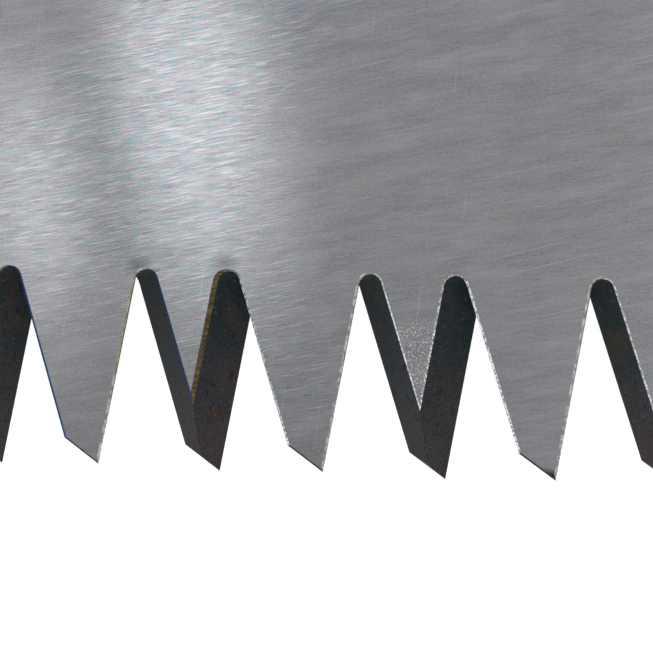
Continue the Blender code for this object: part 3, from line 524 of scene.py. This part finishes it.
def finished_metal(name, colour, deep, paler, roughness):
    """Plated, blackened or sintered metal: cloudy tone, fine pits, and edges rubbed bright with a painted
    highlight on them.
    """
    material, tree, shader = new_material(name)
    cloud = marks(tree, 3 * MM, 3 * MM, detail=4.0)
    pits = marks(tree, 0.5 * MM, 0.5 * MM, detail=2.0)
    skin = laid_over(tree, linear(deep), linear(colour), cloud, NOISE_LOW, NOISE_HIGH)
    gloss = add_node(tree, "ShaderNodeMapRange", {
        "Value": cloud,
        "From Min": NOISE_LOW,
        "From Max": NOISE_HIGH,
        "To Min": roughness - 0.06,
        "To Max": roughness + 0.06,
    })
    relief = add_node(tree, "ShaderNodeBump", {"Height": pits, "Distance": 0.02 * MM, "Strength": 0.4})
    wire(tree, shader, {
        # Paler rounded edges: rubbed, and a painted highlight
        "Base Color": laid_over(tree, skin, linear(paler), rubbed_and_highlit_edges(tree), 0.0, 1.0, 0.9),
        "Metallic": 1.0,
        "Roughness": gloss.outputs["Result"],
        "Normal": relief.outputs["Normal"],
    })
    return material


# Pieces


def merged_copy(node, weld=WELD):
    """Copy of a solid's mesh with its triangles welded and its flat areas joined."""
    shape = bmesh.new()
    shape.from_mesh(frame["nodes"][node].data)
    bmesh.ops.remove_doubles(shape, verts=shape.verts, dist=weld)
    bmesh.ops.dissolve_limit(shape, angle_limit=FLAT_ANGLE, verts=shape.verts, edges=shape.edges)
    return shape


def new_piece(name, shape, materials):
    """Object of a shape, which is freed and materials."""
    mesh = bpy.data.meshes.new(name)
    shape.to_mesh(mesh)
    shape.free()
    if "custom_normal" in mesh.attributes:
        mesh.attributes.remove(mesh.attributes["custom_normal"])
    for material in materials:
        mesh.materials.append(material)
    piece = bpy.data.objects.new(name, mesh)
    bpy.context.scene.collection.objects.link(piece)
    return piece


def shade_smooth(shape, limit):
    """Smooth shading, with edges left sharp from a limit angle."""
    for face in shape.faces:
        face.smooth = True
    for edge in shape.edges:
        edge.smooth = edge.calc_face_angle(math.pi) < limit


# Blade


def is_blade_face(face):
    """True on the flat sides of the blade."""
    return abs(face.normal.z) > BLADE_FACE_FACING


def on_tip_cut(normal, place):
    """True on the slanted ends of the teeth, but not at the gullets' roots, which face the same way."""
    return normal.y < TIP_CUT_FACING and place.y < GULLET_LINE_Y - TOOTH_HEIGHT / 2


def burr_share(edge, ground, flank):
    """Share of the full burr width, which passes smoothly round a gullet's root from wall to wall."""
    middle = (edge.verts[0].co + edge.verts[1].co) / 2
    if on_tip_cut(flank.normal, middle):
        return TIP_BURR
    to_handle, to_nose = SLIGHT_BURRS
    if flank.normal.x * ground.normal.dot(flank.normal) > 0:
        gullet = round((middle.x - BLADE_LOW.x - FIRST_GULLET) / TOOTH_PITCH)
        heavy = gullet % HEAVY_BURR_EVERY == HEAVY_BURR_GULLET
        to_handle, to_nose = HEAVY_BURRS if heavy else STRONG_BURRS
    facing = flank.normal.x / math.hypot(flank.normal.x, flank.normal.y)
    wall_share = to_handle + (to_nose - to_handle) * (1 - facing) / 2
    return wall_share * (ROOT_BURR + (1 - ROOT_BURR) * abs(facing))


def marked_blade():
    """Blade's shape with a finish set on each face and a burr width on each edge of the teeth."""
    shape = merged_copy("saw_blade")
    shape.normal_update()
    for face in shape.faces:
        in_teeth = face.calc_center_median().y < GULLET_LINE_Y + BURR_WIDTH
        if is_blade_face(face):
            face.material_index = GROUND
        else:
            face.material_index = FLANK if in_teeth else SHEARED
    width_share = shape.edges.layers.float.new("bevel_weight_edge")
    for edge in shape.edges:
        ground = [face for face in edge.link_faces if face.material_index == GROUND]
        flanks = [face for face in edge.link_faces if face.material_index == FLANK]
        if ground and flanks:
            edge[width_share] = burr_share(edge, ground[0], flanks[0])
    return shape


def with_burrs(shape, materials):
    """New shape with a narrow bevel along the edges that have a burr width."""
    mesh = bpy.data.meshes.new("blade before its burrs")
    shape.to_mesh(mesh)
    shape.free()
    for material in materials:
        mesh.materials.append(material)
    blank = bpy.data.objects.new("blade before its burrs", mesh)
    bpy.context.scene.collection.objects.link(blank)
    burrs = blank.modifiers.new("Burrs", "BEVEL")
    burrs.limit_method = "WEIGHT"
    burrs.width = BURR_WIDTH
    burrs.segments = 1
    burrs.use_clamp_overlap = False
    burrs.material = BURR
    graph = bpy.context.evaluated_depsgraph_get()
    burred = bpy.data.meshes.new_from_object(blank.evaluated_get(graph))
    bpy.data.objects.remove(blank)
    shape = bmesh.new()
    shape.from_mesh(burred)
    shape.normal_update()
    return shape


def burr_finish(face):
    """Dark on the tip cuts, tinted where the edge faces the handle, and bright where it faces the nose."""
    if on_tip_cut(face.normal, face.calc_center_median()):
        return FLANK
    return TINTED if face.normal.x > 0 else BURR


def is_undercut_burr(face):
    """True on the steep tinted strips over undercut walls, whose bright rim, a painted highlight, lies on the
    blade's face.
    """
    return face.material_index == TINTED and abs(face.normal.z) < UNDERCUT_BURR_FACING


def finish_rims(shape):
    """Narrow rims inside the borders of the ground faces, with a pale painted highlight beside undercut burrs."""
    ground = [face for face in shape.faces if face.material_index == GROUND]
    made = bmesh.ops.inset_region(shape, faces=ground, thickness=RIM_WIDTH, use_even_offset=True)
    for rim in made["faces"]:
        beside = [face for edge in rim.edges for face in edge.link_faces]
        if any(is_undercut_burr(face) for face in beside):
            rim.material_index = HIGHLIT_RIM


def make_blade():
    """Blade with bright ground faces, dark tooth flanks, and thin burrs and rims along the tooth edges."""
    materials = [
        ground_steel(),
        hardened_flank(),
        burr_steel(),
        tinted_bevel(),
        sheared_steel(),
        rim_highlight_steel(),
    ]
    shape = with_burrs(marked_blade(), materials)
    for face in shape.faces:
        if face.material_index == BURR:
            face.material_index = burr_finish(face)
    finish_rims(shape)
    across = shape.loops.layers.uv.new("across_grind")
    for face in shape.faces:
        for loop in face.loops:
            loop[across].uv = loop.vert.co.yx / UV_UNIT
    shade_smooth(shape, BURR_ANGLE)
    for edge in shape.edges:
        edge.smooth = edge.smooth and len({face.material_index for face in edge.link_faces}) == 1
    blade = new_piece("ground_saw_blade", shape, materials)
    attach(blade, "blade")
    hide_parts("saw_blade")


# Handle and fittings


def dress(node, body, material, rounding, weld=WELD):
    """Piece with a solid's own shape, its sharp edges rounded and marked for rubbing and a painted highlight."""
    shape = merged_copy(node, weld)
    shape.faces.layers.float.new("wear_and_highlight")
    sharp = [edge for edge in shape.edges if edge.calc_face_angle(0.0) > SHARP_ANGLE]
    made = bmesh.ops.bevel(shape, geom=sharp, offset=rounding, offset_type="OFFSET", affect="EDGES",
                           segments=ROUNDING_STEPS, profile=0.5, clamp_overlap=True, material=-1)
    wear_and_highlight = shape.faces.layers.float["wear_and_highlight"]
    for face in made["faces"]:
        face[wear_and_highlight] = 1.0
    bmesh.ops.remove_doubles(shape, verts=shape.verts, dist=TOUCH)
    bmesh.ops.dissolve_degenerate(shape, dist=WELD, edges=shape.edges)
    shape.normal_update()
    shade_smooth(shape, SMOOTH_ANGLE)
    piece = new_piece(f"finished_{node}", shape, [material])
    piece.modifiers.new("Even shading", "WEIGHTED_NORMAL").keep_sharp = True
    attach(piece, body)
    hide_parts(node)


def make_spring(material):
    """Lever's return spring: one round wire wound between the closing stop and the lever's arm."""
    low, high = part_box("lock_spring")
    middle = (low + high) / 2
    half_wire = SPRING_WIRE / 2
    radius = (high.x - low.x) / 2 - half_wire
    steps = SPRING_TURNS * SPRING_STEPS
    rise = high.y - low.y - SPRING_WIRE
    shape = bmesh.new()
    rings = []
    for step in range(steps + 1):
        place = Vector((middle.x, low.y + half_wire + rise * step / steps, middle.z))
        turn = Matrix.Rotation(step * math.tau / SPRING_STEPS, 3, (0, -1, 0))
        ring = []
        for side in range(WIRE_SIDES):
            angle = side * math.tau / WIRE_SIDES
            point = Vector((radius - half_wire * math.sin(angle), half_wire * math.cos(angle), 0))
            ring.append(shape.verts.new(place + turn @ point))
        rings.append(ring)
    for ring, after in zip(rings, rings[1:]):
        for side in range(WIRE_SIDES):
            shape.faces.new((ring[side - 1], ring[side], after[side], after[side - 1]))
    shape.faces.new(rings[0][::-1])
    shape.faces.new(rings[-1])
    shape.normal_update()
    shade_smooth(shape, SMOOTH_ANGLE)
    spring = new_piece("wound_lock_spring", shape, [material])
    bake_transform(spring, "handle", "lever", start=(middle.x, low.y, middle.z), end=(middle.x, high.y, middle.z))
    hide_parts("lock_spring")


def dress_all():
    """Handle and fittings, each piece with the finish of its slot and on its own body."""
    finishes = {
        # Satin black with a coarse grain, grey where edges are rubbed and carry a painted highlight
        "black_nylon": moulded("black_glass_filled_nylon", "#151617", "#3c3d3f", 0.45, 1.0 * MM, 0.12 * MM),
        # Satin mid grey with a faint grain
        "grey_nylon": moulded("grey_nylon", "#4a4c4e", "#77797b", 0.45, 0.8 * MM, 0.05 * MM),
        # Signal red, a little glossier, pale where edges are rubbed and carry a painted highlight
        "red_nylon": moulded("red_nylon", "#a51d14", "#c4574c", 0.38, 0.8 * MM, 0.04 * MM),
        # Matt grey, soft to the eye
        "grip_rubber": moulded("soft_grip_rubber", "#5f6265", "#83868a", 0.75, 1.2 * MM, 0.12 * MM),
        # Light, slightly clouded metal
        "plated_steel": finished_metal("zinc_plated_steel", "#b4b5b8", "#94969b", "#dcdddf", 0.3),
        # Near-black metal with bright rubbed edges that carry a painted highlight
        "black_steel": finished_metal("black_oxide_steel", "#2b2c2e", "#1e1f20", "#77787b", 0.4),
        # Warm brown-yellow metal
        "bronze": finished_metal("sintered_bronze", "#b08a55", "#8a6a3f", "#d9b982", 0.38),
    }
    body_of = {}
    for body, members in frame["record"]["behaviour"]["bodies"].items():
        for node in members:
            body_of[node] = body
    for part in frame["record"]["subparts"]:
        node, slot = part["node"], part["material_slot"]
        if node not in ("saw_blade", "lock_spring"):
            # Slivers between the facets of the black mouldings are welded away before they are rounded
            weld = SLIVER if slot == "black_nylon" else WELD
            dress(node, body_of[node], finishes[slot], ROUNDINGS.get(slot, SMALL_ROUNDING), weld)
    make_spring(finishes["plated_steel"])


# Stage, lamps and camera


def add_stage(name, material, half, place=(0, 0, 0)):
    """Flat square of the studio."""
    shape = bmesh.new()
    bmesh.ops.create_grid(shape, x_segments=1, y_segments=1, size=half, matrix=Matrix.Translation(place))
    mesh = bpy.data.meshes.new(name)
    shape.to_mesh(mesh)
    shape.free()
    mesh.materials.append(material)
    flat = bpy.data.objects.new(name, mesh)
    bpy.context.scene.collection.objects.link(flat)
    return flat


def shown_ray(tree):
    """One for rays that show the background, to the eye or in a reflection."""
    rays = add_node(tree, "ShaderNodeLightPath").outputs
    shown = rays["Is Camera Ray"]
    for kind in ("Is Glossy Ray", "Is Transmission Ray"):
        larger = add_node(tree, "ShaderNodeMath", {0: shown, 1: rays[kind]}, operation="MAXIMUM")
        shown = larger.outputs["Value"]
    return shown


def make_floor():
    """White floor that keeps the saw's shadow."""
    material, tree, shader = new_material("white_studio_floor")
    tree.nodes.remove(shader)
    paint = add_node(tree, "ShaderNodeBsdfDiffuse", {"Color": linear("#f0f0f0")})
    glow = add_node(tree, "ShaderNodeEmission", {"Color": WHITE, "Strength": FLOOR_GLOW})
    seen = add_node(tree, "ShaderNodeAddShader", {0: paint.outputs["BSDF"], 1: glow.outputs["Emission"]})
    mix = add_node(tree, "ShaderNodeMixShader", {
        0: shown_ray(tree),
        1: paint.outputs["BSDF"],
        2: seen.outputs["Shader"],
    })
    wire(tree, tree.nodes["Material Output"], {"Surface": mix.outputs["Shader"]})
    add_stage("floor", material, FLOOR_HALF)


def make_world():
    """White background that lights less than it shows."""
    world = bpy.data.worlds.new("studio")
    world.use_nodes = True
    tree = world.node_tree
    level = add_node(tree, "ShaderNodeMapRange", {
        "Value": shown_ray(tree),
        "To Min": WORLD_LIGHT,
        "To Max": 1.0,
    })
    wire(tree, tree.nodes["Background"], {"Color": WHITE, "Strength": level.outputs["Result"]})
    bpy.context.scene.world = world


def make_ceiling():
    """Grey ceiling with soft patches of light, there only for the blade and other metal to mirror."""
    material, tree, shader = new_material("lit_studio_ceiling")
    level = CEILING_LEVEL
    for (right, back), (reach_x, reach_y), strength in CEILING_PATCHES:
        centre = (VIEWED_POINT.x + right, VIEWED_POINT.y + back, CEILING_HEIGHT)
        soft = add_node(tree, "ShaderNodeMapRange", {
            "Value": soft_patch(tree, centre, (reach_x, reach_y, 1.0), PATCH_TURN),
            "From Max": PATCH_CORE,
            "To Max": strength,
        }, interpolation_type="SMOOTHSTEP")
        level = add_node(tree, "ShaderNodeMath", {0: level, 1: soft.outputs["Result"]}).outputs["Value"]
    wire(tree, shader, {
        "Base Color": BLACK,
        "Roughness": 1.0,
        "Emission Color": WHITE,
        "Emission Strength": level,
    })
    ceiling = add_stage("ceiling", material, CEILING_HALF, (VIEWED_POINT.x, 0, CEILING_HEIGHT))
    ceiling.visible_camera = False
    ceiling.visible_diffuse = False
    ceiling.visible_shadow = False


def make_lamps():
    """Soft box over the handle, and a far soft key light from the front that metal doesn't mirror."""
    box = bpy.data.lights.new("softbox", "AREA")
    box.shape = "RECTANGLE"
    box.size, box.size_y = SOFTBOX_SIZE
    box.energy = SOFTBOX_RADIANCE * math.pi * box.size * box.size_y
    key = bpy.data.lights.new("key_light", "SUN")
    key.energy = KEY_STRENGTH
    key.angle = KEY_SPREAD
    for lamp, lean, mirrored in ((box, 0.0, True), (key, KEY_LEAN, False)):
        holder = bpy.data.objects.new(lamp.name, lamp)
        holder.location = LAMP_PLACE
        holder.rotation_euler = (lean, 0, 0)
        holder.visible_camera = False
        holder.visible_glossy = mirrored
        bpy.context.scene.collection.objects.link(holder)


def make_camera():
    """Camera of the close view, looking at the viewed point."""
    lens = bpy.data.cameras.new("camera")
    lens.sensor_width = SENSOR
    lens.lens = SENSOR * FOCAL_PIXELS / max(PICTURE_WIDTH, PICTURE_HEIGHT)
    lens.clip_start = CAMERA_NEAR
    camera = bpy.data.objects.new("camera", lens)
    camera.rotation_euler = CAMERA_TURN
    turn = camera.rotation_euler.to_matrix()
    camera.location = VIEWED_POINT + turn @ Vector((0, 0, CAMERA_DISTANCE))
    bpy.context.scene.collection.objects.link(camera)
    bpy.context.scene.camera = camera


make_blade()
dress_all()
make_floor()
make_world()
make_ceiling()
make_lamps()
make_camera()
bpy.context.scene.view_settings.view_transform = "Standard"
